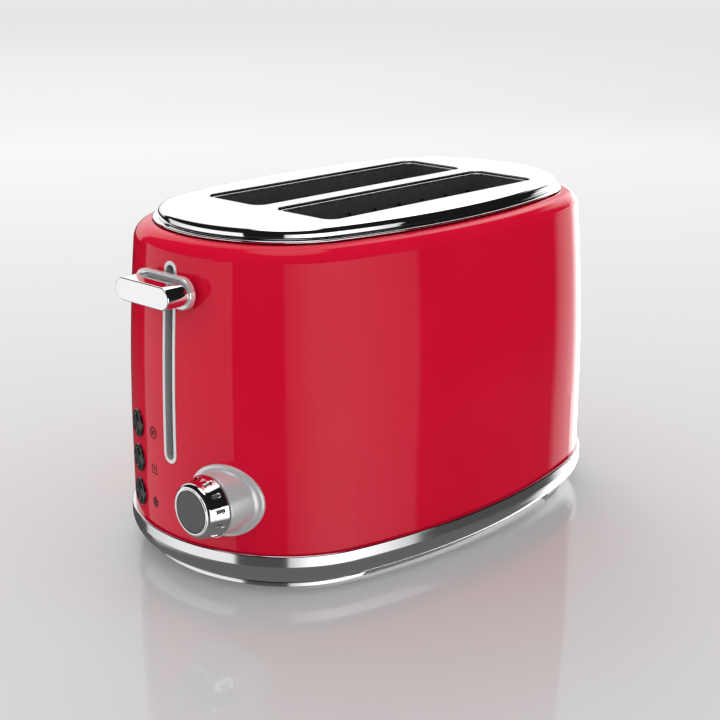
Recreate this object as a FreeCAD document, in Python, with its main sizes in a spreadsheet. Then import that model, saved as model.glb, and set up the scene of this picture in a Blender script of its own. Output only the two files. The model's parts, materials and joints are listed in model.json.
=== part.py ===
import FreeCAD, Part
import math
import os
import re

import Sketcher
from FreeCAD import Placement, Rotation, Vector

# Two-slot pop-up toaster. X runs along the bread slots with the control end at -X,
# Z is up, and the origin is the point on the worktop under the middle of the body.
# Millimetres and degrees throughout.

DIMENSIONS = {
    # Plan outline of the body: an oval of eight arcs that stay concentric when it is offset.
    "half_length": 146,
    "end_radius": 94,
    "corner_radius": 69,
    "end_angle": 31.5,
    "side_angle": 74.5,
    # Outer shell: upright wall, long lean inwards, rounded shoulder, lip turned down.
    "shell_foot": 22,
    "lean_start": 62,
    "lean_radius": 1150,
    "shoulder_start": 170,
    "shoulder_radius": 10,
    "sheet": 1.2,
    "lip_drop": 6,
    # Top plate and the two bread slots.
    "plate_inset": 15.4,
    "plate_rim": 179.5,
    "plate_top": 186.3,
    "deck_inset": 21.6,
    "plate_gauge": 1,
    "plate_bead": 0.7,
    "plate_under": 2,
    "plate_tuck": 40,
    "plate_shoulder": 3.2,
    "slot_length": 161.5,
    "slot_width": 39,
    "slot_pitch": 54.3,
    "slot_shift": 5.9,
    "slot_corner": 4,
    "slot_ledge": 2.5,
    "ledge_depth": 1.2,
    "slot_roll": 0.5,
    # Base band, feet, cover and crumb tray.
    "band_outset": 2,
    "band_waist": 16,
    "band_low": 2.8,
    "band_tuck": 12.7,
    "band_wall": 1.6,
    "band_lip": 0.8,
    "band_gap": 0.1,
    "band_lap": 1.4,
    "band_ledge": 2.5,
    "foot_sole": 0.8,
    "foot_inset": 7.9,
    "foot_reach": 82,
    "foot_rim": 2,
    "pad_radius": 6,
    "pad_inset": 17,
    "cover_low": 3.6,
    "cover_gauge": 2,
    "vent_width": 3,
    "vent_length": 70,
    "vent_pitch": 12,
    "vent_count": 11,
    "boss_front": -60,
    "boss_rear": 68,
    "boss_side": 64,
    "boss_radius": 4,
    "screw_radius": 1.5,
    "head_radius": 3,
    "head_height": 1.6,
    "tray_half_width": 52,
    "tray_front": -84,
    "tray_rear": 124,
    "tray_low": 6.8,
    "tray_depth": 6,
    "tray_sheet": 0.8,
    "tray_play": 0.35,
    "pull_half_width": 24,
    "pull_reach": 160,
    "pull_root": 140,
    "pull_gauge": 3.2,
    "pull_corner": 9,
    "pull_roll": 1.2,
    # Chassis: deck, end plates, reflectors, top frame.
    "deck_low": 26,
    "deck_gauge": 1.2,
    "chamber_half": 86,
    "chassis_half_width": 60,
    "chassis_top": 175,
    "reflector_side": 57,
    "liner_low": 170,
    "liner_top": 184,
    "liner_step": 180,
    "liner_gauge": 1.1,
    # Heating.
    "mica_half_length": 78,
    "mica_low": 40,
    "mica_top": 166,
    "mica_gauge": 0.8,
    "mica_side": 51.5,
    "ribbon": 0.4,
    "ribbon_height": 1.6,
    "ribbon_pitch": 11,
    "ribbon_count": 11,
    # Bread guides and racks.
    "guide_offset": 17,
    "guide_travel": 4.5,
    "guide_low": 46,
    "guide_bar_top": 166,
    "guide_wire_top": 177,
    "wire_radius": 0.9,
    "bar_radius": 1.1,
    "wire_count": 8,
    "wire_pitch": 20,
    "rack_top": 132,
    "rack_height": 8,
    "rack_gauge": 1.5,
    "rack_rib_half": 11,
    "rack_rib_count": 8,
    # Carriage: the lift leans with the front of the body.
    "lift_lean": 2.29,
    "lift_down": 85,
    "lift_up": 6,
    "rod_x": -112,
    "rod_z": 100,
    "rod_side": 12,
    "rod_radius": 2.5,
    "rod_length": 150,
    "bush_play": 0.08,
    "block_half_depth": 7,
    "block_half_width": 20,
    "block_height": 18,
    "lever_height": 154.8,
    "lever_front": -160.5,
    "lever_back": -147.1,
    "lever_half_span": 20.8,
    "lever_radius": 5.9,
    "flange_back": -144.3,
    "flange_half_span": 22,
    "flange_radius": 8.3,
    "arm_height": 8,
    "arm_gauge": 2.4,
    # Lever slot and its trim.
    "trim_low": 62.1,
    "trim_top": 168.2,
    "trim_half_width": 4.8,
    "trim_bore": 2.9,
    "trim_lap": 1,
    "trim_proud": 0.4,
    # Browning control.
    "dial_side": -34,
    "dial_height": 49.4,
    "knob_face": -161.8,
    "knob_back": -150.3,
    "knob_face_radius": 12.7,
    "knob_back_radius": 16.6,
    "insert_radius": 11,
    "insert_seat": 1.6,
    "insert_play": 0.1,
    "knob_rim": 0.5,
    "knob_bevel": 1.6,
    "knob_bevel_depth": 2.2,
    "knob_wall": 1.6,
    "knob_floor": 3.6,
    "notch_start": 4.6,
    "notch_end": 8.2,
    "notch_half_width": 1.3,
    "bezel_face": -149.3,
    "bezel_radius": 16.5,
    "bezel_flange_radius": 19.35,
    "bezel_proud": 1.5,
    "shaft_radius": 3,
    "shaft_length": 31,
    "shaft_chamfer": 0.4,
    "control_depth": 5,
    "control_radius": 8,
    "control_neck": 4,
    "notch_count": 12,
    # Push buttons.
    "button_side": 33.6,
    "button_low": 35.7,
    "button_pitch": 19.4,
    "button_radius": 5.7,
    "button_proud": 2.1,
    "ring_radius": 7.5,
    "ring_proud": 1.3,
    # Electronics and mains inlet.
    "board_x": -126,
    "board_gauge": 1.6,
    "inlet_side": 40,
    "inlet_height": 38,
    "inlet_bore": 3.25,
}

os.makedirs("parts", exist_ok=True)
doc = FreeCAD.newDocument("Toaster")
sheet = doc.addObject("Spreadsheet::Sheet", "Sizes")
for row, (alias, number) in enumerate(DIMENSIONS.items(), start=1):
    sheet.set(f"A{row}", str(number))
    sheet.setAlias(f"A{row}", alias)
doc.recompute()

parts = {}


# ---------------------------------------------------------------- sheet and document helpers


def bound(expression):
    """Expression text with every alias pointed at the sheet."""
    def point(match):
        word = match.group()
        return f"Sizes.{word}" if word in DIMENSIONS else word
    return re.sub(r"[a-z_]+", point, str(expression))


def read(expression):
    """Present value of an alias or an expression of aliases."""
    return float(sheet.evalExpression(bound(expression)))


def bind(thing, expressions):
    for prop, expression in expressions.items():
        thing.setExpression(prop, bound(expression))
    return thing


def place(thing, x=0, y=0, z=0, prefix="Placement"):
    corner = {"x": x, "y": y, "z": z}
    return bind(thing, {f"{prefix}.Base.{axis}": where for axis, where in corner.items()})


def keep(name, thing):
    """Make thing the sub-part called name."""
    thing.Label = name
    parts[name] = thing
    return thing


def feature(name, shape):
    """Sub-part whose outline no sketch or primitive fits: its shape is set here."""
    thing = doc.addObject("Part::Feature", name)
    thing.Shape = shape
    thing.Placement = Placement()
    return keep(name, thing)


# ---------------------------------------------------------------- primitives


def box(name, length, width, height, x, y, z):
    solid = doc.addObject("Part::Box", name)
    bind(solid, {"Length": length, "Width": width, "Height": height})
    return place(solid, x, y, z)


def centred_box(name, length, width, height, x, y, z):
    """Box centred on x and y, standing on z."""
    return box(name, length, width, height, f"{x} - ({length}) / 2", f"{y} - ({width}) / 2", z)


def rod(name, radius, length, x, y, z, axis=Vector(0, 0, 1)):
    """Cylinder that starts at x, y, z and runs along axis."""
    solid = doc.addObject("Part::Cylinder", name)
    bind(solid, {"Radius": radius, "Height": length})
    solid.Placement = Placement(Vector(), Rotation(Vector(0, 0, 1), axis))
    return place(solid, x, y, z)


def fuse(name, shapes):
    union = doc.addObject("Part::MultiFuse", name)
    union.Shapes = shapes
    return union


def group(name, shapes):
    """Separate solids that share one node."""
    compound = doc.addObject("Part::Compound", name)
    compound.Links = shapes
    return compound


def cut(name, base, tool):
    difference = doc.addObject("Part::Cut", name)
    difference.Base = base
    difference.Tool = tool
    return difference


# ---------------------------------------------------------------- sketches and bodies


def new_body(name):
    return keep(name, doc.addObject("PartDesign::Body", name))


def new_sketch(body, name, role, offset="0"):
    sketch = body.newObject("Sketcher::SketchObject", name)
    plane = next(item for item in body.Origin.OriginFeatures if item.Role == role)
    sketch.AttachmentSupport = (plane, [""])
    sketch.MapMode = "FlatFace"
    return place(sketch, z=offset, prefix="AttachmentOffset")


def pin_point(sketch, geometry, point, x, y):
    """Hold a sketch point at two expressions, measured from the sketch's origin."""
    for kind, expression in (("DistanceX", x), ("DistanceY", y)):
        rule = Sketcher.Constraint(kind, -1, 1, geometry, point, read(expression))
        number = sketch.addConstraint(rule)
        sketch.setExpression(f"Constraints[{number}]", bound(expression))


def polygon(sketch, corners):
    """Closed outline through corners, each a pair of expressions."""
    first = sketch.GeometryCount
    points = [Vector(read(x), read(y), 0) for x, y in corners]
    count = len(points)
    for index in range(count):
        sketch.addGeometry(Part.LineSegment(points[index], points[(index + 1) % count]))
    for index in range(count):
        after = first + (index + 1) % count
        sketch.addConstraint(Sketcher.Constraint("Coincident", first + index, 2, after, 1))
    for index, (x, y) in enumerate(corners):
        pin_point(sketch, first + index, 1, x, y)


def rectangle(sketch, low_x, low_y, high_x, high_y):
    polygon(sketch, [(low_x, low_y), (high_x, low_y), (high_x, high_y), (low_x, high_y)])


def circle(sketch, x, y, radius):
    index = sketch.GeometryCount
    sketch.addGeometry(Part.Circle(Vector(read(x), read(y), 0), Vector(0, 0, 1), read(radius)))
    number = sketch.addConstraint(Sketcher.Constraint("Radius", index, read(radius)))
    sketch.setExpression(f"Constraints[{number}]", bound(radius))
    pin_point(sketch, index, 3, x, y)


def stadium(sketch, half_span, radius):
    """Rounded bar centred on the sketch's origin, its ends half circles."""
    first = sketch.GeometryCount
    middle = f"({half_span}) - ({radius})"
    reach = read(middle)
    size = read(radius)
    for side in (1, -1):
        ring = Part.Circle(Vector(side * reach, 0, 0), Vector(0, 0, 1), size)
        turn = 0 if side > 0 else math.pi
        sketch.addGeometry(Part.ArcOfCircle(ring, turn - math.pi / 2, turn + math.pi / 2))
        sketch.addGeometry(Part.LineSegment(Vector(side * reach, side * size, 0),
                                            Vector(-side * reach, side * size, 0)))
    for index in range(4):
        after = first + (index + 1) % 4
        sketch.addConstraint(Sketcher.Constraint("Tangent", first + index, 2, after, 1))
    number = sketch.addConstraint(Sketcher.Constraint("Radius", first, size))
    sketch.setExpression(f"Constraints[{number}]", bound(radius))
    pin_point(sketch, first, 3, middle, "0")
    sketch.addConstraint(Sketcher.Constraint("PointOnObject", first + 2, 3, -1))
    gap = Sketcher.Constraint("DistanceX", first + 2, 3, first, 3, 2 * reach)
    number = sketch.addConstraint(gap)
    sketch.setExpression(f"Constraints[{number}]", bound(f"2 * ({middle})"))


def pad(body, sketch, length, name="Pad", reverse=False):
    solid = body.newObject("PartDesign::Pad", name)
    solid.Profile = sketch
    solid.Reversed = reverse
    return bind(solid, {"Length": length})


def pocket(body, sketch, length, name="Pocket", reverse=False):
    """Cut a sketch into the body and make sure that it removed something."""
    doc.recompute()
    before = body.Shape.Volume
    hollow = body.newObject("PartDesign::Pocket", name)
    hollow.Profile = sketch
    hollow.Reversed = reverse
    bind(hollow, {"Length": length})
    doc.recompute()
    if body.Shape.Volume >= before - 1e-6:
        raise RuntimeError(f"{name} of {body.Label} cuts nothing")
    return hollow


def revolve(body, sketch, axis="H_Axis", name="Revolution"):
    solid = body.newObject("PartDesign::Revolution", name)
    solid.Profile = sketch
    solid.ReferenceAxis = (sketch, [axis])
    solid.Angle = 360
    return solid


def turned(name, profile):
    """Body turned about its own X axis from a closed (x, radius) outline."""
    body = new_body(name)
    sketch = new_sketch(body, f"{name}_profile", "XZ_Plane")
    polygon(sketch, profile)
    revolve(body, sketch)
    return body


def round_edges(body, radius, wanted, name="Fillet"):
    """Fillet the edges of the body's tip that wanted picks."""
    doc.recompute()
    tip = body.Tip
    picked = [f"Edge{number}" for number, edge in enumerate(tip.Shape.Edges, 1) if wanted(edge)]
    fillet = body.newObject("PartDesign::Fillet", name)
    fillet.Base = (tip, picked)
    return bind(fillet, {"Radius": radius})


def at_x(where):
    """Picks the edges that lie in the plane x = where."""
    level = read(where)
    return lambda edge: all(abs(vertex.X - level) < 1e-4 for vertex in edge.Vertexes)


# ---------------------------------------------------------------- the oval


def toward(angle):
    return Vector(math.cos(math.radians(angle)), math.sin(math.radians(angle)), 0)


def oval_arcs():
    """The oval's eight arcs in turn: centre, radius, start angle and sweep."""
    end_angle = read("end_angle")
    side_angle = read("side_angle")
    end_centre = Vector(read("half_length - end_radius"), 0, 0)
    corner_centre = end_centre + toward(end_angle) * read("end_radius - corner_radius")
    joint = corner_centre + toward(side_angle) * read("corner_radius")
    side_radius = joint.x / math.cos(math.radians(side_angle))
    side_centre = joint - toward(side_angle) * side_radius
    corner = read("corner_radius")
    bend = side_angle - end_angle
    def flip(point, x, y):
        return Vector(x * point.x, y * point.y, 0)
    return [
        (end_centre, read("end_radius"), -end_angle, 2 * end_angle),
        (corner_centre, corner, end_angle, bend),
        (side_centre, side_radius, side_angle, 180 - 2 * side_angle),
        (flip(corner_centre, -1, 1), corner, 180 - side_angle, bend),
        (flip(end_centre, -1, 1), read("end_radius"), 180 - end_angle, 2 * end_angle),
        (flip(corner_centre, -1, -1), corner, 180 + end_angle, bend),
        (flip(side_centre, 1, -1), side_radius, 180 + side_angle, 180 - 2 * side_angle),
        (flip(corner_centre, 1, -1), corner, 360 - side_angle, bend),
    ]


def oval_plate(inset, low, high):
    """Solid oval slab between two heights, its edge inset from the body's outline."""
    edges = []
    for centre, radius, start, sweep in oval_arcs():
        reach = radius - inset
        ends = [centre + toward(start + part * sweep) * reach for part in (0, 0.5, 1)]
        edges.append(Part.Arc(*ends).toShape())
    face = Part.Face(Part.Wire(edges))
    face.translate(Vector(0, 0, low))
    return face.extrude(Vector(0, 0, high - low))


def section(outline, centre, radius, angle):
    """Face of a closed (inset, height) outline, stood up at one angle of an arc of the oval.

    An outline item is a corner, or a pair of points: an arc's middle and its end.
    """
    def stand(point):
        return centre + toward(angle) * (radius - point[0]) + Vector(0, 0, point[1])
    edges = []
    last = outline[0]
    for item in outline[1:] + [outline[0]]:
        is_arc = isinstance(item[0], tuple)
        end = item[1] if is_arc else item
        if is_arc:
            edges.append(Part.Arc(stand(last), stand(item[0]), stand(end)).toShape())
        else:
            edges.append(Part.LineSegment(stand(last), stand(end)).toShape())
        last = end
    return Part.Face(Part.Wire(edges))


def oval_ring(outline, arcs=None):
    """Wall of one closed (inset, height) outline carried round the oval, or round some arcs."""
    pieces = []
    for centre, radius, start, sweep in arcs or oval_arcs():
        face = section(outline, centre, radius, start)
        pieces.append(face.revolve(centre, Vector(0, 0, 1), sweep))
    whole = pieces[0] if len(pieces) == 1 else pieces[0].fuse(pieces[1:]).removeSplitter()
    return whole.Solids[0]


def front_arcs():
    """The three arcs round the control end."""
    return oval_arcs()[3:6]


def arc_pair(centre, radius, start, end):
    """Middle and end of an arc in the (inset, height) plane, angles from the inset axis."""
    def spot(angle):
        turn = math.radians(angle)
        return (centre[0] + radius * math.cos(turn), centre[1] + radius * math.sin(turn))
    return (spot((start + end) / 2), spot(end))


def wall_outline(proud, depth, low, high):
    """Outline of a skin that follows the shell's face, from proud outside it to depth inside."""
    start = read("lean_start")
    radius = read("lean_radius")
    lean = math.degrees(math.asin((high - start) / radius))
    outer = arc_pair((radius, start), radius + proud, 180, 180 - lean)
    inner = arc_pair((radius, start), radius - depth, 180 - lean, 180)
    top_inner = arc_pair((radius, start), radius - depth, 180, 180 - lean)[1]
    return [(-proud, low), (-proud, start), outer, top_inner, inner, (depth, low)]


def bar_along_x(half_span_y, low, high, start, end):
    """Upright stadium, round at its top and bottom, run along X from start to end."""
    radius = half_span_y
    bottom = Vector(start, 0, low + radius)
    top = Vector(start, 0, high - radius)
    side = Vector(0, radius, 0)
    edges = [
        Part.Arc(bottom + side, bottom - Vector(0, 0, radius), bottom - side).toShape(),
        Part.LineSegment(bottom - side, top - side).toShape(),
        Part.Arc(top - side, top + Vector(0, 0, radius), top + side).toShape(),
        Part.LineSegment(top + side, bottom + side).toShape(),
    ]
    return Part.Face(Part.Wire(edges)).extrude(Vector(end - start, 0, 0))


# ---------------------------------------------------------------- places on the round ends


def face_frame(side, height, end=-1):
    """Placement at a point of the shell's upright face: own X axis points straight out."""
    radius = read("end_radius")
    turn = math.degrees(math.asin(side / radius))
    centre = Vector(end * read("half_length - end_radius"), 0, height)
    bearing = 180 - turn if end < 0 else turn
    return Placement(centre + toward(bearing) * radius, Rotation(Vector(0, 0, 1), bearing))


def button_heights():
    return [read(f"button_low + {step} * button_pitch") for step in range(3)]


def turned_hole(frame, radius, inward, outward):
    """Round tool on a frame's X axis."""
    hole = Part.makeCylinder(radius, inward + outward, Vector(-inward, 0, 0), Vector(1, 0, 0))
    hole.Placement = frame
    return hole


# ---------------------------------------------------------------- casing


def shell_outline():
    """Section of the sheet: upright, leaning, shoulder, and the lip turned down inside."""
    low = read("shell_foot")
    start = read("lean_start")
    long_radius = read("lean_radius")
    sheet_gauge = read("sheet")
    turn = read("shoulder_radius")
    lean = math.degrees(math.asin((read("shoulder_start") - start) / long_radius))
    long_centre = (long_radius, start)
    lean_end = arc_pair(long_centre, long_radius, 180, 180 - lean)[1]
    slope = math.radians(180 - lean)
    centre = (lean_end[0] - turn * math.cos(slope), lean_end[1] - turn * math.sin(slope))
    top = centre[1] + turn
    drop = top - read("lip_drop")
    bend = (centre[0], top - sheet_gauge)
    return [
        (0, low),
        (0, start),
        arc_pair(long_centre, long_radius, 180, 180 - lean),
        arc_pair(centre, turn, 180 - lean, 90),
        arc_pair(bend, sheet_gauge, 90, 0),
        (centre[0] + sheet_gauge, drop),
        (centre[0], drop),
        bend,
        arc_pair(centre, turn - sheet_gauge, 90, 180 - lean),
        arc_pair(long_centre, long_radius - sheet_gauge, 180 - lean, 180),
        (sheet_gauge, low),
    ]


def outer_shell():
    shell = oval_ring(shell_outline())
    lap = read("trim_lap - 0.1")
    tools = [bar_along_x(read("trim_half_width") - lap, read("trim_low") + lap,
                         read("trim_top") - lap, -150, -120)]
    tools += [turned_hole(face_frame(read("button_side"), height), read("ring_radius - 0.8"), 8, 4)
              for height in button_heights()]
    dial = Part.makeCylinder(read("shaft_radius + 2"), 40, Vector(-160, read("dial_side"),
                             read("dial_height")), Vector(1, 0, 0))
    inlet = turned_hole(face_frame(read("inlet_side"), read("inlet_height"), 1), 5.2, 8, 4)
    feature("outer_shell", shell.cut(tools + [dial, inlet]).Solids[0])


def slot_prism(centre_y, grow, low, high):
    """Rounded bread-slot prism, grown all round."""
    half_x = read("slot_length") / 2 + grow
    half_y = read("slot_width") / 2 + grow
    radius = read("slot_corner") + grow
    block = Part.makeBox(2 * half_x, 2 * half_y, high - low,
                         Vector(read("slot_shift") - half_x, centre_y - half_y, low))
    upright = [edge for edge in block.Edges
               if abs(edge.Vertexes[0].Z - edge.Vertexes[-1].Z) > 1e-6]
    return block.makeFillet(radius, upright)


def slot_centres():
    half = read("slot_pitch") / 2
    return (-half, half)


def plate_outline():
    """Section of the top plate's edge: bead, narrow ledge, rounded side and the start of the flat."""
    edge = read("plate_inset")
    low = read("plate_rim")
    top = read("plate_top")
    gauge = read("plate_gauge")
    flat = read("deck_inset")
    bead = read("plate_bead")
    under = read("plate_under")
    shoulder = read("plate_shoulder")
    tuck = math.radians(read("plate_tuck"))
    inner = flat + 4
    wall = flat - shoulder
    ledge = low + 2 * bead
    waist = ledge + under * math.sin(tuck)
    foot = wall + gauge + 0.4
    return [
        (edge + bead, low),
        arc_pair((edge + bead, low + bead), bead, 270, 90),
        (wall + under * (1 - math.cos(tuck)), ledge),
        arc_pair((wall + under, waist), under, 180 + math.degrees(tuck), 180),
        (wall, top - shoulder),
        arc_pair((flat, top - shoulder), shoulder, 180, 90),
        (inner, top),
        (inner, top - gauge),
        (flat, top - gauge),
        arc_pair((flat, top - shoulder), shoulder - gauge, 90, 180),
        (foot, ledge - 0.4),
        (wall, low),
    ]


def rim_edges(plate, grow, level):
    """Edges of the slot outlines, grown all round, that lie at a height."""
    half_x = read("slot_length") / 2 + grow
    half_y = read("slot_width") / 2 + grow
    shift = read("slot_shift")
    def on_rim(edge):
        bounds = edge.BoundBox
        along = max(abs(bounds.XMin - shift), abs(bounds.XMax - shift)) - half_x
        across = min(max(abs(bounds.YMin - y), abs(bounds.YMax - y)) - half_y for y in slot_centres())
        flat = bounds.ZLength < 1e-4 and abs(bounds.ZMin - level) < 1e-4
        return flat and abs(max(along, across)) < 1e-3
    return [edge for edge in plate.Edges if on_rim(edge)]


def top_plate():
    """Chrome lid: flat top, and a sunk ledge round each bread slot."""
    top = read("plate_top")
    gauge = read("plate_gauge")
    ledge = read("slot_ledge")
    step = top - read("ledge_depth")
    plate = oval_plate(read("deck_inset") + 4, top - gauge, top)
    wells = [slot_prism(y, ledge + gauge, step - gauge, top - gauge / 2) for y in slot_centres()]
    plate = plate.fuse([oval_ring(plate_outline())] + wells)
    sunk = [slot_prism(y, ledge, step, top + 1) for y in slot_centres()]
    holes = [slot_prism(y, 0, step - gauge - 1, top + 1) for y in slot_centres()]
    plate = plate.cut(sunk + holes).removeSplitter().Solids[0]
    edges = rim_edges(plate, ledge, top) + rim_edges(plate, 0, step)
    feature("top_plate", plate.makeFillet(read("slot_roll"), edges).Solids[0])


def band_outline():
    """Section of the base band: ledge under the shell, rolled lip, face and the long tuck under."""
    top = read("shell_foot")
    out = -read("band_outset")
    waist = read("band_waist")
    low = read("band_low")
    tuck = read("band_tuck")
    wall = read("band_wall")
    lip = read("band_lip")
    lap = read("band_lap")
    crest = top - read("band_gap")
    shelf = crest - read("band_ledge")
    def quarter(outset, bottom, end):
        middle = math.radians(45)
        mid = (end - (end - outset) * math.cos(middle), waist - (waist - bottom) * math.sin(middle))
        return (mid, (end, bottom))
    outer = quarter(out, low, tuck)
    inner = quarter(out + wall, low + wall, tuck + wall)
    return [
        (lap, crest),
        (out + lip, crest),
        arc_pair((out + lip, crest - lip), lip, 90, 180),
        (out, waist),
        outer,
        (tuck + wall, low),
        (tuck + wall, low + wall),
        (inner[0], (out + wall, waist)),
        (out + wall, shelf),
        (lap, shelf),
    ]


def tray_window(play):
    """Opening at the rear of the band for the crumb tray, shrunk by play."""
    half = read("tray_half_width") + 1 - play
    low = read("tray_low - 0.8") + play
    high = read("tray_low + tray_depth + 2.4") - play
    return Part.makeBox(90, 2 * half, high - low, Vector(95, -half, low))


def base_band():
    band = oval_ring(band_outline())
    feature("base_band", band.cut(tray_window(0)).Solids[0])


def foot_outline():
    """Section of a foot: narrow upright rim at the worktop, cove up to the band, wide sole."""
    sole = read("foot_sole")
    edge = read("foot_inset")
    rim = sole + read("foot_rim")
    top = read("cover_low")
    back = read("band_tuck + band_wall")
    low = read("band_low")
    return [
        (edge, sole),
        (edge, rim - 0.3),
        arc_pair((edge + 0.3, rim - 0.3), 0.3, 180, 90),
        (edge + 3.6, low - 0.05),
        (back + 0.1, low - 0.05),
        (back + 0.1, top),
        (26, top),
        (26, sole),
    ]


def feet():
    skirt = oval_ring(foot_outline())
    reach = read("foot_reach")
    rise = read("cover_low")
    corners = [(-reach, 0), (reach, 0), (reach - 6, rise + 1), (6 - reach, rise + 1)]
    wire = Part.makePolygon([Vector(x, -120, z) for x, z in corners + corners[:1]])
    arch = Part.Face(wire).extrude(Vector(0, 240, 0))
    ends = skirt.cut(arch)
    for pad_spot in pad_spots():
        ends = ends.cut(Part.makeCylinder(read("pad_radius + 0.1"), 2, pad_spot))
    by_place = sorted(ends.Solids, key=lambda solid: solid.CenterOfMass.x)
    feature("front_foot", by_place[0])
    feature("rear_foot", by_place[-1])


def pad_spots():
    """Centres of the four rubber pads, on the worktop."""
    spots = []
    for index in (1, 3, 5, 7):
        centre, radius, start, sweep = oval_arcs()[index]
        spots.append(centre + toward(start + sweep / 2) * (radius - read("pad_inset")))
    return spots


def rubber_pads():
    discs = []
    for number, spot in enumerate(pad_spots()):
        disc = rod(f"pad_{number}", "pad_radius", "2", "0", "0", "0")
        edge = doc.addObject("Part::Chamfer", f"pad_edge_{number}")
        edge.Base = disc
        doc.recompute()
        lowest = [index for index, item in enumerate(disc.Shape.Edges, 1)
                  if item.BoundBox.ZMax < 1e-6]
        edge.Edges = [(index, 0.4, 0.4) for index in lowest]
        edge.Placement = Placement(spot, Rotation())
        discs.append(edge)
    keep("rubber_pads", group("rubber_pads", discs))


def boss_spots():
    return [(x, y) for x in ("boss_front", "boss_rear") for y in ("boss_side", "-boss_side")]


def base_cover():
    low = read("cover_low")
    top = low + read("cover_gauge")
    plate = oval_plate(read("band_tuck + band_wall") + 0.2, low, top)
    columns = [Part.makeCylinder(read("boss_radius"), read("deck_low") - top + 0.5,
                                 Vector(read(x), read(y), top - 0.5)) for x, y in boss_spots()]
    holes = [Part.makeCylinder(read("screw_radius"), 40, Vector(read(x), read(y), 0))
             for x, y in boss_spots()]
    vents = []
    for number in range(int(read("vent_count"))):
        x = read("vent_pitch") * (number - (read("vent_count") - 1) / 2)
        vents.append(Part.makeBox(read("vent_width"), read("vent_length"), 4 * read("cover_gauge"),
                                  Vector(x, -read("vent_length") / 2, low - read("cover_gauge"))))
    feature("base_cover", plate.fuse(columns).cut(holes + vents).removeSplitter().Solids[0])


def screws(name, head_low, shank_low, shank_length):
    """Four screws on the bosses: a head and a shank each."""
    made = []
    for number, (x, y) in enumerate(boss_spots()):
        head = rod(f"{name}_head_{number}", "head_radius", "head_height", x, y, head_low)
        shank = rod(f"{name}_shank_{number}", "screw_radius", shank_length, x, y, shank_low)
        made.append(fuse(f"{name}_{number}", [head, shank]))
    keep(name, group(name, made))


def crumb_tray():
    """Shallow pan: a slab with its middle pocketed out."""
    body = new_body("crumb_tray")
    slab = new_sketch(body, "tray_outline", "XY_Plane", "tray_low")
    rectangle(slab, "tray_front", "-tray_half_width", "tray_rear", "tray_half_width")
    pad(body, slab, "tray_depth")
    inside = new_sketch(body, "tray_inside", "XY_Plane", "tray_low + tray_sheet")
    rectangle(inside, "tray_front + tray_sheet", "tray_sheet - tray_half_width",
              "tray_rear - tray_sheet", "tray_half_width - tray_sheet")
    pocket(body, inside, "tray_depth", reverse=True)


def tray_front():
    """Flush end of the crumb tray with a finger pull."""
    plug = oval_ring(band_outline(), [oval_arcs()[0]]).common(tray_window(read("tray_play")))
    low = read("tray_low")
    half = read("pull_half_width")
    back = read("tray_rear")
    root = read("pull_root")
    gauge = read("pull_gauge")
    web = Part.makeBox(read("half_length") - back - 1, 2 * half, gauge, Vector(back, -half, low + 1))
    reach = read("pull_reach")
    lip = Part.makeBox(reach - root, 2 * half, gauge, Vector(root, -half, low + 1))
    corners = [edge for edge in lip.Edges
               if edge.BoundBox.XMin > reach - 1e-4 and edge.BoundBox.ZLength > 1]
    lip = lip.makeFillet(read("pull_corner"), corners)
    rims = [edge for edge in lip.Edges
            if edge.BoundBox.ZLength < 1e-4 and edge.BoundBox.XMax > reach - read("pull_corner") - 1]
    lip = lip.makeFillet(read("pull_roll"), rims)
    feature("tray_front", plug.fuse([web, lip]).removeSplitter().Solids[0])


# ---------------------------------------------------------------- chassis


def chassis_deck():
    """Floor of the chassis: wide over the chamber, narrow shelves to the front and rear."""
    body = new_body("chassis_deck")
    outline = new_sketch(body, "deck_outline", "XY_Plane", "deck_low")
    wide = "boss_side + 4"
    polygon(outline, [
        ("-128", "-44"), ("slot_shift - chamber_half", "-44"),
        ("slot_shift - chamber_half", f"-({wide})"), ("slot_shift + chamber_half", f"-({wide})"),
        ("slot_shift + chamber_half", "-44"), ("122", "-44"),
        ("122", "44"), ("slot_shift + chamber_half", "44"),
        ("slot_shift + chamber_half", wide), ("slot_shift - chamber_half", wide),
        ("slot_shift - chamber_half", "44"), ("-128", "44"),
    ])
    pad(body, outline, "deck_gauge")
    window = new_sketch(body, "deck_window", "XY_Plane", "deck_low")
    rectangle(window, "slot_shift - 74", "-48", "slot_shift + 74", "48")
    pocket(body, window, "deck_gauge", "CrumbWindow", reverse=True)
    holes = new_sketch(body, "deck_holes", "XY_Plane", "deck_low")
    for x, y in boss_spots():
        circle(holes, x, y, "screw_radius")
    for y in ("rod_side", "-rod_side"):
        circle(holes, "rod_x - 3", y, "rod_radius + 0.5")
    pocket(body, holes, "deck_gauge", "ScrewHoles", reverse=True)


def end_plate(name, low_x):
    """Upright end of the chassis, pierced for the racks and the bread guides."""
    body = new_body(name)
    outline = new_sketch(body, f"{name}_outline", "YZ_Plane", low_x)
    floor = "deck_low + deck_gauge"
    rectangle(outline, "-chassis_half_width", floor, "chassis_half_width", "chassis_top")
    pad(body, outline, "deck_gauge")
    openings = new_sketch(body, f"{name}_openings", "YZ_Plane", low_x)
    near = "guide_offset - guide_travel - bar_radius - 0.5"
    far = "guide_offset + bar_radius + 0.9"
    for slot in ("slot_pitch / 2", "-slot_pitch / 2"):
        rectangle(openings, f"{slot} - 1.75", "rack_top - rack_height - lift_down - 2",
                  f"{slot} + 1.75", "rack_top + lift_up + 2")
        for level in ("guide_low", "guide_bar_top"):
            for low, high in ((near, far), (f"-({far})", f"-({near})")):
                rectangle(openings, f"{slot} + {low}", f"{level} - 1.6",
                          f"{slot} + {high}", f"{level} + 1.6")
    pocket(body, openings, "deck_gauge", "Openings", reverse=True)


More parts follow.
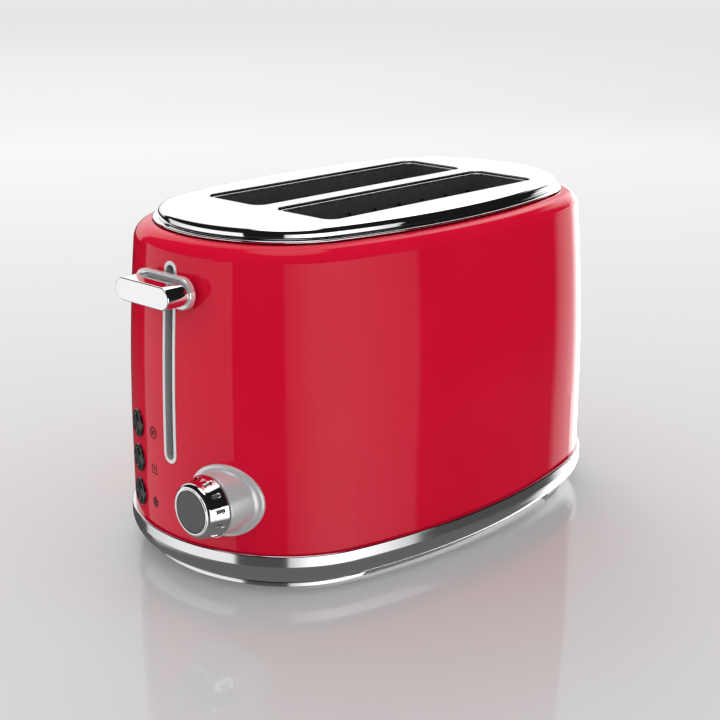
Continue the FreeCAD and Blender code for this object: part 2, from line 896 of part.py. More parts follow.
def chassis_top():
    """Top frame of the chassis, open round the two slot liners."""
    low = read("chassis_top")
    gauge = read("deck_gauge")
    half = read("chassis_half_width")
    front = read("slot_shift - chamber_half") - gauge
    rear = read("slot_shift + chamber_half") + gauge
    frame = Part.makeBox(rear - front, 2 * half, gauge, Vector(front, -half, low))
    shelf = Part.makeBox(front + 122, 40, gauge, Vector(-122, -20, low))
    liners = [slot_prism(y, read("liner_gauge"), low - 1, low + 3) for y in slot_centres()]
    rods = [Part.makeCylinder(read("rod_radius") + 0.5, 10, Vector(read("rod_x") + 3, y, low - 5))
            for y in (read("rod_side"), -read("rod_side"))]
    feature("chassis_top", frame.fuse(shelf).cut(liners + rods).removeSplitter().Solids[0])


def slot_liner(name, centre_y):
    """Drawn collar that hangs in a bread slot, narrower below a small step."""
    step = read("liner_step")
    collar = slot_prism(centre_y, read("liner_gauge"), read("liner_low"), read("liner_top"))
    upper = slot_prism(centre_y, 0.3, step, 200)
    lower = slot_prism(centre_y, -0.5, 100, step + 1)
    feature(name, collar.cut([upper, lower]).Solids[0])


def reflectors():
    """Sheets that keep the heat off the shell."""
    floor = "deck_low + deck_gauge"
    sides = {"left_reflector": "reflector_side", "right_reflector": "-reflector_side - deck_gauge"}
    for name, side in sides.items():
        keep(name, box(name, "2 * chamber_half", "deck_gauge", f"chassis_top - ({floor})",
                       "slot_shift - chamber_half", side, floor))


# ---------------------------------------------------------------- heating


def heater(name, side):
    """One mica card and the resistance ribbon wound round it."""
    card = centred_box(f"{name}_mica", "2 * mica_half_length", "mica_gauge",
                       "mica_top - mica_low", "slot_shift", side, "mica_low")
    keep(f"{name}_mica", card)
    turns = []
    for number in range(int(read("ribbon_count"))):
        level = f"mica_low + 6 + {number} * ribbon_pitch"
        loop = centred_box(f"{name}_turn_{number}", "2 * (mica_half_length + ribbon)",
                           "mica_gauge + 2 * ribbon", "ribbon_height", "slot_shift", side, level)
        turns.append(loop)
    core = centred_box(f"{name}_core", "2 * mica_half_length", "mica_gauge",
                       "mica_top - mica_low", "slot_shift", side, "mica_low")
    winding = cut(f"{name}_ribbon", group(f"{name}_turns", turns), core)
    keep(f"{name}_ribbon", winding)


# ---------------------------------------------------------------- guides and racks


def bread_guide(name, side):
    """Wire cage beside a slice: two bars along X and a row of upright wires."""
    wires = []
    start = "slot_shift - chamber_half - 4"
    for label, level in (("low", "guide_low"), ("high", "guide_bar_top")):
        wires.append(rod(f"{name}_{label}", "bar_radius", "2 * chamber_half + 8",
                         start, side, level, Vector(1, 0, 0)))
    count = int(read("wire_count"))
    for number in range(count):
        x = f"slot_shift + wire_pitch * ({number} - ({count} - 1) / 2)"
        wires.append(rod(f"{name}_wire_{number}", "wire_radius", "guide_wire_top - guide_low",
                         x, side, "guide_low"))
    keep(name, fuse(name, wires))


def bread_rack(name, side):
    """Lifting rack: a steel strip on edge with a comb of cross ribs."""
    strip = box(f"{name}_strip", "182", "rack_gauge", "rack_height",
                "-84", f"{side} - rack_gauge / 2", "rack_top - rack_height")
    ribs = [strip]
    count = int(read("rack_rib_count"))
    for number in range(count):
        x = f"slot_shift + wire_pitch * ({number} - ({count} - 1) / 2) + 8"
        ribs.append(centred_box(f"{name}_rib_{number}", "1.6", "2 * rack_rib_half", "3",
                                x, side, "rack_top - 3"))
    keep(name, fuse(name, ribs))


# ---------------------------------------------------------------- carriage and lever


def lift_axis():
    lean = math.radians(read("lift_lean"))
    return Vector(math.sin(lean), 0, math.cos(lean))


def rod_foot(side):
    """Lower end of a guide rod."""
    middle = Vector(read("rod_x"), side, read("rod_z"))
    return middle - lift_axis() * (read("rod_length") / 2)


def guide_rods():
    made = []
    for name, side in (("left_rod", "rod_side"), ("right_rod", "-rod_side")):
        foot = rod_foot(read(side))
        solid = rod(name, "rod_radius", "rod_length", foot.x, foot.y, foot.z, lift_axis())
        made.append(solid)
    keep("guide_rods", group("guide_rods", made))


def carriage():
    """Block that runs on the two rods, with the lever's arm and the cross bar for the racks."""
    top = read("rack_top")
    depth = read("block_half_depth")
    width = read("block_half_width")
    height = read("block_height")
    x = read("rod_x") + 1
    low = top - height + 2
    block = Part.makeBox(2 * depth, 2 * width, height, Vector(x - depth, -width, low))
    block = block.makeFillet(2, [edge for edge in block.Edges if edge.BoundBox.ZLength > 1])
    arm_high = read("lever_height + arm_height / 2")
    arm_low = read("lever_height - arm_height / 2")
    half = read("arm_gauge") / 2
    arm = Part.makeBox(x - depth + 8 - read("lever_back"), 2 * half, arm_high - arm_low,
                       Vector(read("lever_back"), -half, arm_low))
    post = Part.makeBox(8, 2 * half, arm_high - low - 1, Vector(x - depth, -half, low + 1))
    web = Part.makeBox(-86 - (x + depth) + 1, 16, 12, Vector(x + depth - 1, -8, top - 12))
    reach = read("slot_pitch") / 2 + 4
    bar = Part.makeBox(2, 2 * reach, 12, Vector(-86, -reach, top - 12))
    bores = []
    for side in (read("rod_side"), -read("rod_side")):
        bore = Part.makeCylinder(read("rod_radius + bush_play"), read("rod_length"),
                                 rod_foot(side), lift_axis())
        bores.append(bore)
    solid = block.fuse([arm, post, web, bar]).cut(bores).removeSplitter()
    feature("carriage", solid.Solids[0])


def lever_flange():
    """Stadium plate behind the handle, dished inside a raised rim."""
    body = new_body("lever_flange")
    outline = new_sketch(body, "flange_outline", "YZ_Plane")
    stadium(outline, "flange_half_span", "flange_radius")
    pad(body, outline, "flange_back - lever_back + 0.6")
    round_edges(body, "0.9", at_x("0"), "Rim")
    dish = new_sketch(body, "flange_dish", "YZ_Plane")
    stadium(dish, "flange_half_span - 1.3", "flange_radius - 1.3")
    pocket(body, dish, "0.6", "Dish", reverse=True)
    hole = new_sketch(body, "flange_hole", "YZ_Plane")
    rectangle(hole, "-arm_gauge / 2", "-arm_height / 2", "arm_gauge / 2", "arm_height / 2")
    pocket(body, hole, "10", "ArmHole", reverse=True)
    place(body, "lever_back - 0.6", "0", "lever_height")


def lever_handle():
    """Solid stadium bar pressed down by hand, its front edges eased."""
    body = new_body("lever_handle")
    outline = new_sketch(body, "handle_outline", "YZ_Plane")
    stadium(outline, "lever_half_span", "lever_radius")
    pad(body, outline, "lever_back - lever_front")
    round_edges(body, "0.7", at_x("0"), "FrontEdge")
    place(body, "lever_front", "0", "lever_height")


def lift_spring():
    """Extension spring from the carriage's web up to the chassis top."""
    helix = doc.addObject("Part::Helix", "spring_path")
    helix.Radius = 4
    helix.Pitch = 2.6
    bind(helix, {"Height": "chassis_top - rack_top - 2"})
    circle_wire = doc.addObject("Part::Circle", "spring_wire")
    circle_wire.Radius = 0.55
    circle_wire.Placement = Placement(Vector(4, 0, 0), Rotation(Vector(1, 0, 0), 90))
    coil = doc.addObject("Part::Sweep", "lift_spring")
    coil.Sections = [circle_wire]
    coil.Spine = helix
    coil.Solid = True
    coil.Frenet = True
    place(coil, "-97", "0", "rack_top + 1")
    keep("lift_spring", coil)


def latch():
    """Armature on the carriage and the electromagnet that holds it down."""
    armature = box("latch_armature", "16", "20", "2", "-108", "block_half_width", "rack_top - 1.4")
    keep("latch_armature", armature)
    floor = "deck_low + deck_gauge"
    yoke = box("magnet_yoke", "14", "18", "2.4", "-107", "22", floor)
    legs = [box(f"magnet_leg_{number}", "14", "3", "15.4", "-107", y, floor)
            for number, y in enumerate(("22", "37"))]
    pole = rod("magnet_pole", "3", "15.4", "-100", "31", floor)
    keep("magnet_core", fuse("magnet_core", [yoke, pole] + legs))
    outside = rod("coil_outside", "5.6", "11", "-100", "31", f"{floor} + 2.6")
    inside = rod("coil_inside", "3.1", "12", "-100", "31", f"{floor} + 2.2")
    keep("magnet_coil", cut("magnet_coil", outside, inside))


# ---------------------------------------------------------------- controls on the front


def lever_trim():
    """Frame round the lever slot: a thin flange on the shell and a sleeve through it."""
    proud = read("trim_proud")
    low = read("trim_low")
    top = read("trim_top")
    half = read("trim_half_width")
    lip = oval_ring(wall_outline(proud, 0, low - 5, top + 5), front_arcs())
    sleeve = oval_ring(wall_outline(proud, 4, low - 5, top + 5), front_arcs())
    lip = lip.common(bar_along_x(half, low, top, -150, -130))
    lap = read("trim_lap")
    sleeve = sleeve.common(bar_along_x(half - lap, low + lap, top - lap, -150, -130))
    wall = half - read("trim_bore")
    bore = bar_along_x(read("trim_bore"), low + wall, top - wall, -150, -120)
    feature("lever_trim", lip.fuse(sleeve).cut(bore).removeSplitter().Solids[0])


def dial_bezel():
    """Drum behind the browning knob, seated on the curved shell by a thin flange."""
    depth = 24
    face = read("bezel_face")
    radius = read("bezel_radius")
    axis = Vector(1, 0, 0)
    centre = Vector(face, read("dial_side"), read("dial_height"))
    drum = Part.makeCone(radius, radius + 0.4, depth, centre, axis)
    drum = drum.cut(oval_plate(0, 10, 90))
    flange = oval_ring(wall_outline(read("bezel_proud"), 0, 24, 100), front_arcs())
    flange = flange.common(Part.makeCylinder(read("bezel_flange_radius"), depth, centre, axis))
    hollow = Part.makeCylinder(radius - 3.5, depth, centre + axis * 1.6, axis)
    bore = Part.makeCylinder(read("shaft_radius") + 1, depth, centre, axis)
    seat = Part.makeCylinder(radius - 1.6, 0.5, centre, axis)
    solid = drum.fuse(flange).cut([hollow, bore, seat]).removeSplitter()
    feature("dial_bezel", max(solid.Solids, key=lambda piece: piece.Volume))


def browning_knob():
    """Chrome knob: ring-shaped face, bevel, tapered skirt with notches, hub for the shaft."""
    length = "knob_back - knob_face"
    body = turned("browning_knob", [
        ("insert_seat", "shaft_radius"), ("insert_seat", "insert_radius"), ("0", "insert_radius"),
        ("0", "knob_face_radius - knob_rim"), ("knob_rim", "knob_face_radius"),
        ("knob_bevel_depth", "knob_face_radius + knob_bevel"), (length, "knob_back_radius"),
        (length, "knob_back_radius - knob_wall"), ("knob_floor", "knob_face_radius - knob_rim"),
        ("knob_floor", "shaft_radius + knob_wall + 1"), (length, "shaft_radius + knob_wall + 1"),
        (length, "shaft_radius"),
    ])
    doc.recompute()
    notch = new_sketch(body, "knob_notch", "XY_Plane", "knob_face_radius - 2")
    rectangle(notch, "notch_start", "-notch_half_width", "notch_end", "notch_half_width")
    groove = pocket(body, notch, "6", "Notch", reverse=True)
    ring = body.newObject("PartDesign::PolarPattern", "NotchRing")
    ring.Originals = [groove]
    ring.Axis = (body.Tip.Profile[0], ["H_Axis"])
    ring.Angle = 360
    bind(ring, {"Occurrences": "notch_count"})
    body.Tip = ring
    place(body, "knob_face", "dial_side", "dial_height")


def knob_insert():
    """Grey disc let into the knob's face."""
    body = turned("knob_insert", [
        ("-insert_play", "0"), ("-insert_play", "insert_radius - knob_rim - insert_play"),
        ("0.2", "insert_radius - insert_play"), ("insert_seat", "insert_radius - insert_play"),
        ("insert_seat", "0"),
    ])
    place(body, "knob_face", "dial_side", "dial_height")


def dial_shaft():
    """Spindle of the browning control, with a flat-ended stub inside the control's body."""
    body = turned("dial_shaft", [
        ("0", "0"), ("0", "shaft_radius - shaft_chamfer"), ("shaft_chamfer", "shaft_radius"),
        ("shaft_length - shaft_chamfer", "shaft_radius"),
        ("shaft_length", "shaft_radius - shaft_chamfer"), ("shaft_length", "0"),
    ])
    place(body, "knob_face + insert_seat + insert_play", "dial_side", "dial_height")


def dial_control():
    """Body of the rotary control, fixed to the board."""
    back = "-control_depth - control_neck"
    body = turned("dial_control", [
        (back, "shaft_radius + 0.05"), (back, "shaft_radius + 1.6"),
        ("-control_depth", "shaft_radius + 1.6"), ("-control_depth", "control_radius"),
        ("0", "control_radius"), ("0", "shaft_radius + 0.05"),
    ])
    place(body, "board_x", "dial_side", "dial_height")


def buttons():
    """Three round keys, their collars, and the switches behind them on a small board."""
    names = ("defrost_button", "reheat_button", "cancel_button")
    rings = []
    switches = []
    for name, height in zip(names, button_heights()):
        frame = face_frame(read("button_side"), height)
        key = turned(name, [
            ("-9", "0"), ("-9", "2"), ("-4", "2"), ("-4", "button_radius"),
            ("button_proud - 0.7", "button_radius"), ("button_proud - 0.1", "button_radius - 0.8"),
            ("button_proud - 0.1", "4.1"), ("button_proud - 0.5", "3.7"), ("button_proud - 0.5", "0"),
        ])
        key.Placement = frame
        ring = Part.makeCylinder(read("ring_radius"), read("ring_proud"), Vector(), Vector(1, 0, 0))
        front = [edge for edge in ring.Edges if edge.BoundBox.XMin > read("ring_proud") - 1e-4]
        ring = ring.makeFillet(0.6, front)
        sleeve = turned_hole(Placement(), read("ring_radius - 1"), 6, 0.5)
        bore = turned_hole(Placement(), read("button_radius + 0.3"), 8, 4)
        collar = ring.fuse(sleeve).cut(bore).removeSplitter()
        collar.Placement = frame
        rings.append(collar)
        housing = Part.makeBox(3.4, 6, 6, Vector(-15.4, -3, -3))
        plunger = turned_hole(Placement(Vector(-12, 0, 0), Rotation()), 1.6, 0.2, 1.6)
        switch = housing.fuse(plunger).removeSplitter()
        switch.Placement = frame
        switches.append(switch)
    feature("button_collars", Part.makeCompound(rings))
    feature("button_switches", Part.makeCompound(switches))
    button_board(face_frame(read("button_side"), button_heights()[1]))


def button_board(middle):
    """Small board behind the keys, square to them."""
    board = doc.addObject("Part::Box", "button_board")
    bind(board, {"Length": "board_gauge", "Width": "22", "Height": "52"})
    board.Placement = middle.multiply(Placement(Vector(-17, -11, -26.5), Rotation()))
    keep("button_board", board)


def control_board():
    """Main circuit board with its larger components."""
    board = box("control_board", "board_gauge", "42", "58", "board_x", "-50", "30")
    keep("control_board", board)
    face = "board_x + board_gauge"
    items = [
        box("relay", "9", "14", "18", face, "-46", "64"),
        box("chip", "2.4", "8", "14", face, "-46", "36"),
        rod("capacitor", "4", "10", face, "-27", "74", Vector(1, 0, 0)),
        rod("small_capacitor", "2.6", "7", face, "-27", "60", Vector(1, 0, 0)),
        box("connector", "6", "6", "16", face, "-31", "34"),
    ]
    keep("board_components", group("board_components", items))


def inlet_gland():
    """Bushing in the rear wall where the mains lead enters."""
    body = turned("inlet_gland", [
        ("-9", "inlet_bore"), ("-9", "5"), ("0", "5"), ("0", "7"), ("1.6", "7"),
        ("2.4", "6"), ("2.4", "inlet_bore"),
    ])
    body.Placement = face_frame(read("inlet_side"), read("inlet_height"), 1)


def terminal_block():
    """Screw terminals on the rear shelf of the deck."""
    body = new_body("terminal_block")
    outline = new_sketch(body, "terminal_outline", "XY_Plane", "deck_low + deck_gauge")
    rectangle(outline, "98", "-30", "112", "6")
    pad(body, outline, "12")
    wells = new_sketch(body, "terminal_wells", "XY_Plane", "deck_low + deck_gauge + 5")
    for number in range(3):
        circle(wells, "105", f"-24 + 12 * {number}", "3")
    pocket(body, wells, "8", "Wells", reverse=True)


# ---------------------------------------------------------------- build and export


def build():
    outer_shell()
    top_plate()
    base_band()
    feet()
    rubber_pads()
    base_cover()
    screws("base_screws", "cover_low - head_height", "cover_low", "10")
    screws("deck_screws", "deck_low + deck_gauge", "deck_low - 8", "8 + deck_gauge")
    crumb_tray()
    tray_front()
    chassis_deck()
    end_plate("front_end_plate", "slot_shift - chamber_half - deck_gauge")
    end_plate("rear_end_plate", "slot_shift + chamber_half")
    chassis_top()
    for name, centre in zip(("right_slot_liner", "left_slot_liner"), slot_centres()):
        slot_liner(name, centre)
    reflectors()
    heater("left", "mica_side")
    heater("centre", "0")
    heater("right", "-mica_side")
    for name, centre in (("left", "slot_pitch / 2"), ("right", "-slot_pitch / 2")):
        away = 1 if name == "left" else -1
        bread_guide(f"{name}_outer_guide", f"{centre} + {away} * guide_offset")
        bread_guide(f"{name}_inner_guide", f"{centre} - {away} * guide_offset")
        bread_rack(f"{name}_rack", centre)
    guide_rods()
    carriage()
    lever_flange()
    lever_handle()
    lift_spring()
    latch()
    lever_trim()
    dial_bezel()
    browning_knob()
    knob_insert()
    dial_shaft()
    dial_control()
    buttons()
    control_board()
    inlet_gland()
    terminal_block()


def check():
    """Stop if any object failed or any sub-part has no sound shape."""
    for thing in doc.Objects:
        if "Invalid" in thing.State or "Error" in thing.State:
            raise RuntimeError(f"{thing.Label} failed: {thing.State}")
    for name, thing in parts.items():
        if thing.Shape.isNull() or not thing.Shape.isValid() or not thing.Shape.Solids:
            raise RuntimeError(f"{name} has no sound shape")


build()
doc.recompute()
check()
for name, thing in parts.items():
    thing.Shape.exportStep(f"parts/{name}.step")
    print(f"{name}: {len(thing.Shape.Solids)} solid(s), {thing.Shape.Volume:.0f} mm3")
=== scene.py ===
import json
import math

import bmesh
import bpy
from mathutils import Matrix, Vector


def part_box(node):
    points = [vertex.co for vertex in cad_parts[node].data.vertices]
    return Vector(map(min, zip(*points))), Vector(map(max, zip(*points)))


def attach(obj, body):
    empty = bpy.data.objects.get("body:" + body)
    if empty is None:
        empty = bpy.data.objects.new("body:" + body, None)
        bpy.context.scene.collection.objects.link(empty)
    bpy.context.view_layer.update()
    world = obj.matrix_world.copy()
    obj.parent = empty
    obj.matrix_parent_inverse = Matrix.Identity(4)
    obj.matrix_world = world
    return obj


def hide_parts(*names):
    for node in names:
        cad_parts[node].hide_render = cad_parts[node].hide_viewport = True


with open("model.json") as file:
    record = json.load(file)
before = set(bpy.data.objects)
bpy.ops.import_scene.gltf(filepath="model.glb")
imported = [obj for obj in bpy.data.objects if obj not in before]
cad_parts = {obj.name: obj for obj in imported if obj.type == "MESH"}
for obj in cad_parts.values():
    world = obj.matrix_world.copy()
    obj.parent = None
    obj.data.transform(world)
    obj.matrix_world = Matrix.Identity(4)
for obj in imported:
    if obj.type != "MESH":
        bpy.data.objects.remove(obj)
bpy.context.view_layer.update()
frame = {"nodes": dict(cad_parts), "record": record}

MM = 0.001


# ---------------------------------------------------------------- node helpers


class Nodes:
    """Small builder for one node tree: every texture reads the object's own coordinates."""

    def __init__(self, tree):
        self.tree = tree
        self.place = None

    def add(self, kind, settings=None, **inputs):
        """New node; settings are its properties, inputs its sockets: a value or another socket."""
        node = self.tree.nodes.new(kind)
        for key, value in (settings or {}).items():
            setattr(node, key, value)
        for key, value in inputs.items():
            self.feed(node.inputs[key.replace("_", " ")], value)
        return node

    def feed(self, socket, value):
        if isinstance(value, bpy.types.NodeSocket):
            self.tree.links.new(value, socket)
        else:
            socket.default_value = value

    def math(self, operation, first, second):
        node = self.tree.nodes.new("ShaderNodeMath")
        node.operation = operation
        for socket, value in zip(node.inputs, (first, second)):
            self.feed(socket, value)
        return node.outputs[0]

    def remap(self, value, low, high, to_low, to_high):
        """Value stretched linearly from one range to another, and held at its ends."""
        node = self.tree.nodes.new("ShaderNodeMapRange")
        for socket, number in zip(node.inputs, (value, low, high, to_low, to_high)):
            self.feed(socket, number)
        return node.outputs[0]

    def ramp(self, value, stops):
        """Colour ramp; stops are (position, grey or colour), at least two of them."""
        node = self.tree.nodes.new("ShaderNodeValToRGB")
        steps = node.color_ramp.elements
        while len(steps) < len(stops):
            steps.new(0.5)
        for step, (position, colour) in zip(steps, stops):
            step.position = position
            tint = (colour,) * 3 if isinstance(colour, (int, float)) else colour
            step.color = (*tint[:3], 1)
        self.feed(node.inputs[0], value)
        return node.outputs[0]

    def spot(self, stretch=(1, 1, 1)):
        """Object coordinates in metres, stretched along an axis."""
        if self.place is None:
            self.place = self.tree.nodes.new("ShaderNodeTexCoord").outputs["Object"]
        mapping = self.tree.nodes.new("ShaderNodeMapping")
        mapping.inputs["Scale"].default_value = stretch
        self.tree.links.new(self.place, mapping.inputs["Vector"])
        return mapping.outputs[0]

    def noise(self, grain, detail, stretch):
        """Noise whose blotches are about grain metres across, from 0 to 1."""
        node = self.add("ShaderNodeTexNoise", Vector=self.spot(stretch), Scale=1 / grain,
                        Detail=detail, Roughness=0.55)
        return node.outputs["Fac"]

    def mix(self, amount, first, second):
        """Colour between two others."""
        node = self.tree.nodes.new("ShaderNodeMix")
        node.data_type = "RGBA"
        for socket, value in zip((node.inputs[0], node.inputs[6], node.inputs[7]),
                                 (amount, first, second)):
            if isinstance(value, tuple) and len(value) == 3:
                value = (*value, 1)
            self.feed(socket, value)
        return node.outputs[2]

    def bump(self, height, distance, strength=1.0):
        node = self.add("ShaderNodeBump", Height=height, Distance=distance, Strength=strength)
        return node.outputs[0]


def shade(material, **sockets):
    """Turn material into a Principled surface; constants go straight onto its sockets."""
    material.use_nodes = True
    tree = material.node_tree
    tree.nodes.clear()
    nodes = Nodes(tree)
    surface = tree.nodes.new("ShaderNodeBsdfPrincipled")
    output = tree.nodes.new("ShaderNodeOutputMaterial")
    tree.links.new(surface.outputs[0], output.inputs[0])
    for name, value in sockets.items():
        value = value(nodes) if callable(value) else value
        if isinstance(value, tuple) and len(value) == 3:
            value = (*value, 1)
        nodes.feed(surface.inputs[name.replace("_", " ")], value)
    return material


# ---------------------------------------------------------------- finishes


def around(nodes, grain, low, high, detail, stretch):
    """Noise spread over a range of values."""
    return nodes.remap(nodes.noise(grain, detail, stretch), 0.25, 0.75, low, high)


def tinted(first, second, grain, detail=3.0, stretch=(1, 1, 1)):
    """Colour that wanders between two tints."""
    def build(nodes):
        return nodes.mix(around(nodes, grain, 0, 1, detail, stretch), first, second)
    return build


def varied(low, high, grain, detail=3.0, stretch=(1, 1, 1)):
    """Grey value that wanders between two numbers."""
    return lambda nodes: around(nodes, grain, low, high, detail, stretch)


def grained(grain, distance, strength=1.0, detail=2.0, stretch=(1, 1, 1)):
    """Bump of one grain size."""
    def build(nodes):
        return nodes.bump(nodes.noise(grain, detail, stretch), distance, strength)
    return build


def red_enamel(material):
    shade(material,
          Base_Color=tinted((0.68, 0.0056, 0.033), (0.72, 0.0072, 0.039), 0.05, 2),
          Roughness=varied(0.30, 0.36, 0.02), Coat_Weight=1.0, Coat_Roughness=0.015, Coat_IOR=1.3,
          Specular_IOR_Level=0.0,
          Normal=grained(0.0004, 0.000004, 0.5), Coat_Normal=grained(0.0022, 0.0000012, 0.5))


def polished_chrome(material):
    shade(material, Metallic=1.0,
          Base_Color=tinted((0.86, 0.865, 0.875), (0.90, 0.90, 0.905), 0.012),
          Roughness=varied(0.02, 0.055, 0.006, 4),
          Normal=grained(0.004, 0.0000015, 0.4, 1))


def lit_chrome(material):
    """Chrome for the small lever flange: a little haze, and a lower metallic share that adds a white
    diffuse part, painted light that makes it read lighter than polished chrome.
    """
    shade(material, Metallic=0.6, Base_Color=tinted((0.86, 0.865, 0.875), (0.92, 0.92, 0.925), 0.012),
          Roughness=varied(0.05, 0.09, 0.006, 4), Normal=grained(0.004, 0.0000015, 0.4, 1))


def satin_steel(material):
    along = (1, 1, 60)
    shade(material, Metallic=1.0,
          Base_Color=tinted((0.70, 0.705, 0.715), (0.78, 0.78, 0.785), 0.01, 4, along),
          Roughness=varied(0.09, 0.14, 0.01, 4, along),
          Normal=grained(0.012, 0.000004, 0.35, 4, along))


def zinc_steel(material):
    def spangle(nodes):
        cells = nodes.add("ShaderNodeTexVoronoi", Vector=nodes.spot(), Scale=160.0)
        dark, light = (0.50, 0.51, 0.53), (0.66, 0.67, 0.69)
        return nodes.ramp(cells.outputs["Color"], [(0.1, dark), (0.9, light)])
    shade(material, Metallic=1.0, Base_Color=spangle, Roughness=varied(0.28, 0.42, 0.004),
          Normal=grained(0.003, 0.00001, 0.3))


def rod_steel(material):
    shade(material, Metallic=1.0, Base_Color=tinted((0.60, 0.60, 0.61), (0.70, 0.70, 0.71), 0.003),
          Roughness=varied(0.16, 0.28, 0.002, 3, (1, 1, 0.1)), Normal=grained(0.0006, 0.000003, 0.4))


def guide_wire(material):
    shade(material, Metallic=0.9, Base_Color=tinted((0.045, 0.042, 0.042), (0.09, 0.075, 0.07), 0.006),
          Roughness=varied(0.22, 0.38, 0.003), Normal=grained(0.0008, 0.000006, 0.5))


def black_coating(material):
    shade(material, Base_Color=tinted((0.040, 0.040, 0.042), (0.062, 0.062, 0.065), 0.004),
          Roughness=varied(0.38, 0.55, 0.003), Normal=grained(0.0007, 0.00001, 0.5))


def core_iron(material):
    def sheets(nodes):
        wave = nodes.add("ShaderNodeTexWave", {"bands_direction": "X"}, Vector=nodes.spot(), Scale=350.0)
        return nodes.mix(wave.outputs["Fac"], (0.12, 0.12, 0.13), (0.24, 0.23, 0.23))
    shade(material, Metallic=1.0, Base_Color=sheets, Roughness=varied(0.4, 0.6, 0.002))


def copper(material):
    def turns(nodes):
        wave = nodes.add("ShaderNodeTexWave", {"bands_direction": "Z"}, Vector=nodes.spot(), Scale=600.0)
        return nodes.mix(wave.outputs["Fac"], (0.35, 0.12, 0.05), (0.72, 0.36, 0.18))
    def ridges(nodes):
        wave = nodes.add("ShaderNodeTexWave", {"bands_direction": "Z"}, Vector=nodes.spot(), Scale=600.0)
        return nodes.bump(wave.outputs["Fac"], 0.0001)
    shade(material, Metallic=0.9, Base_Color=turns, Roughness=0.3, Normal=ridges)


def nichrome(material):
    shade(material, Metallic=1.0, Base_Color=tinted((0.30, 0.28, 0.26), (0.44, 0.40, 0.37), 0.008),
          Roughness=varied(0.35, 0.5, 0.002), Normal=grained(0.001, 0.000005, 0.4))


def mica(material):
    shade(material, Base_Color=tinted((0.34, 0.29, 0.20), (0.52, 0.46, 0.34), 0.003, 5, (1, 1, 2)),
          Roughness=varied(0.30, 0.55, 0.003), Normal=grained(0.002, 0.00002, 0.4, 4))


def silver_plastic(material):
    shade(material, Metallic=0.4,
          Base_Color=tinted((0.70, 0.705, 0.715), (0.75, 0.755, 0.76), 0.0006, 1),
          Roughness=varied(0.22, 0.26, 0.006), Normal=grained(0.0005, 0.0000012, 0.4))


def grey_plastic(material):
    shade(material, Base_Color=tinted((0.075, 0.075, 0.077), (0.098, 0.098, 0.10), 0.003),
          Roughness=varied(0.42, 0.56, 0.002), Normal=grained(0.0005, 0.00001, 0.5))


def key_black(material):
    shade(material, Base_Color=tinted((0.008, 0.008, 0.009), (0.014, 0.014, 0.015), 0.004),
          Roughness=varied(0.10, 0.18, 0.003), Coat_Weight=0.6, Coat_Roughness=0.04,
          Normal=grained(0.001, 0.000002, 0.4))


def black_plastic(material):
    shade(material, Base_Color=tinted((0.018, 0.018, 0.019), (0.032, 0.032, 0.033), 0.003),
          Roughness=varied(0.42, 0.6, 0.002), Normal=grained(0.0006, 0.00002, 0.5))


def cream_plastic(material):
    shade(material, Base_Color=tinted((0.62, 0.56, 0.44), (0.72, 0.67, 0.55), 0.004),
          Roughness=varied(0.4, 0.55, 0.002), Normal=grained(0.0008, 0.00001, 0.4))


def board_green(material):
    def tracks(nodes):
        cells = nodes.add("ShaderNodeTexBrick", Vector=nodes.spot(), Scale=120.0, Mortar_Size=0.06)
        cells.inputs["Color1"].default_value = (0.012, 0.10, 0.04, 1)
        cells.inputs["Color2"].default_value = (0.018, 0.13, 0.05, 1)
        cells.inputs["Mortar"].default_value = (0.05, 0.26, 0.10, 1)
        return cells.outputs["Color"]
    shade(material, Base_Color=tracks, Roughness=varied(0.25, 0.4, 0.002))


def rubber(material):
    shade(material, Base_Color=tinted((0.012, 0.012, 0.012), (0.028, 0.028, 0.028), 0.002),
          Roughness=varied(0.7, 0.85, 0.002), Normal=grained(0.0006, 0.00003, 0.6))


FINISHES = (red_enamel, polished_chrome, lit_chrome, satin_steel, zinc_steel, rod_steel, guide_wire,
            black_coating, core_iron, copper, nichrome, mica, silver_plastic, grey_plastic, key_black,
            black_plastic, cream_plastic, board_green, rubber)


def make_finishes():
    """One material for each slot of the record, on every node that names it; the flange gets a hazier
    chrome with painted light in it.
    """
    finishes = {}
    for build in FINISHES:
        finish = bpy.data.materials.new(f"finish_{build.__name__}")
        build(finish)
        finishes[build.__name__] = finish
    for row in frame["record"]["subparts"]:
        mesh = frame["nodes"][row["node"]].data
        mesh.materials.clear()
        mesh.materials.append(finishes[row["material_slot"]])
    # The lever flange's chrome is swapped for a copy with painted light: a white diffuse share that
    # lightens it.
    frame["nodes"]["lever_flange"].data.materials[0] = finishes["lit_chrome"]
    return finishes


# ---------------------------------------------------------------- stage


FLOOR_REACH = 12.0


def floor():
    """Plain pale tabletop; the studio's cards, not the tabletop, show in polished metal."""
    corners = [(x * FLOOR_REACH, y * FLOOR_REACH, 0) for x, y in ((-1, -1), (1, -1), (1, 1), (-1, 1))]
    mesh = bpy.data.meshes.new("floor")
    mesh.from_pydata(corners, [], [(0, 1, 2, 3)])
    stage = bpy.data.objects.new("floor", mesh)
    bpy.context.scene.collection.objects.link(stage)
    paint = bpy.data.materials.new("floor_paint")
    shade(paint, Base_Color=tinted((0.615, 0.62, 0.62), (0.625, 0.63, 0.63), 0.4),
          Roughness=0.06, Specular_IOR_Level=0.25)
    mesh.materials.append(paint)
    stage.visible_glossy = False


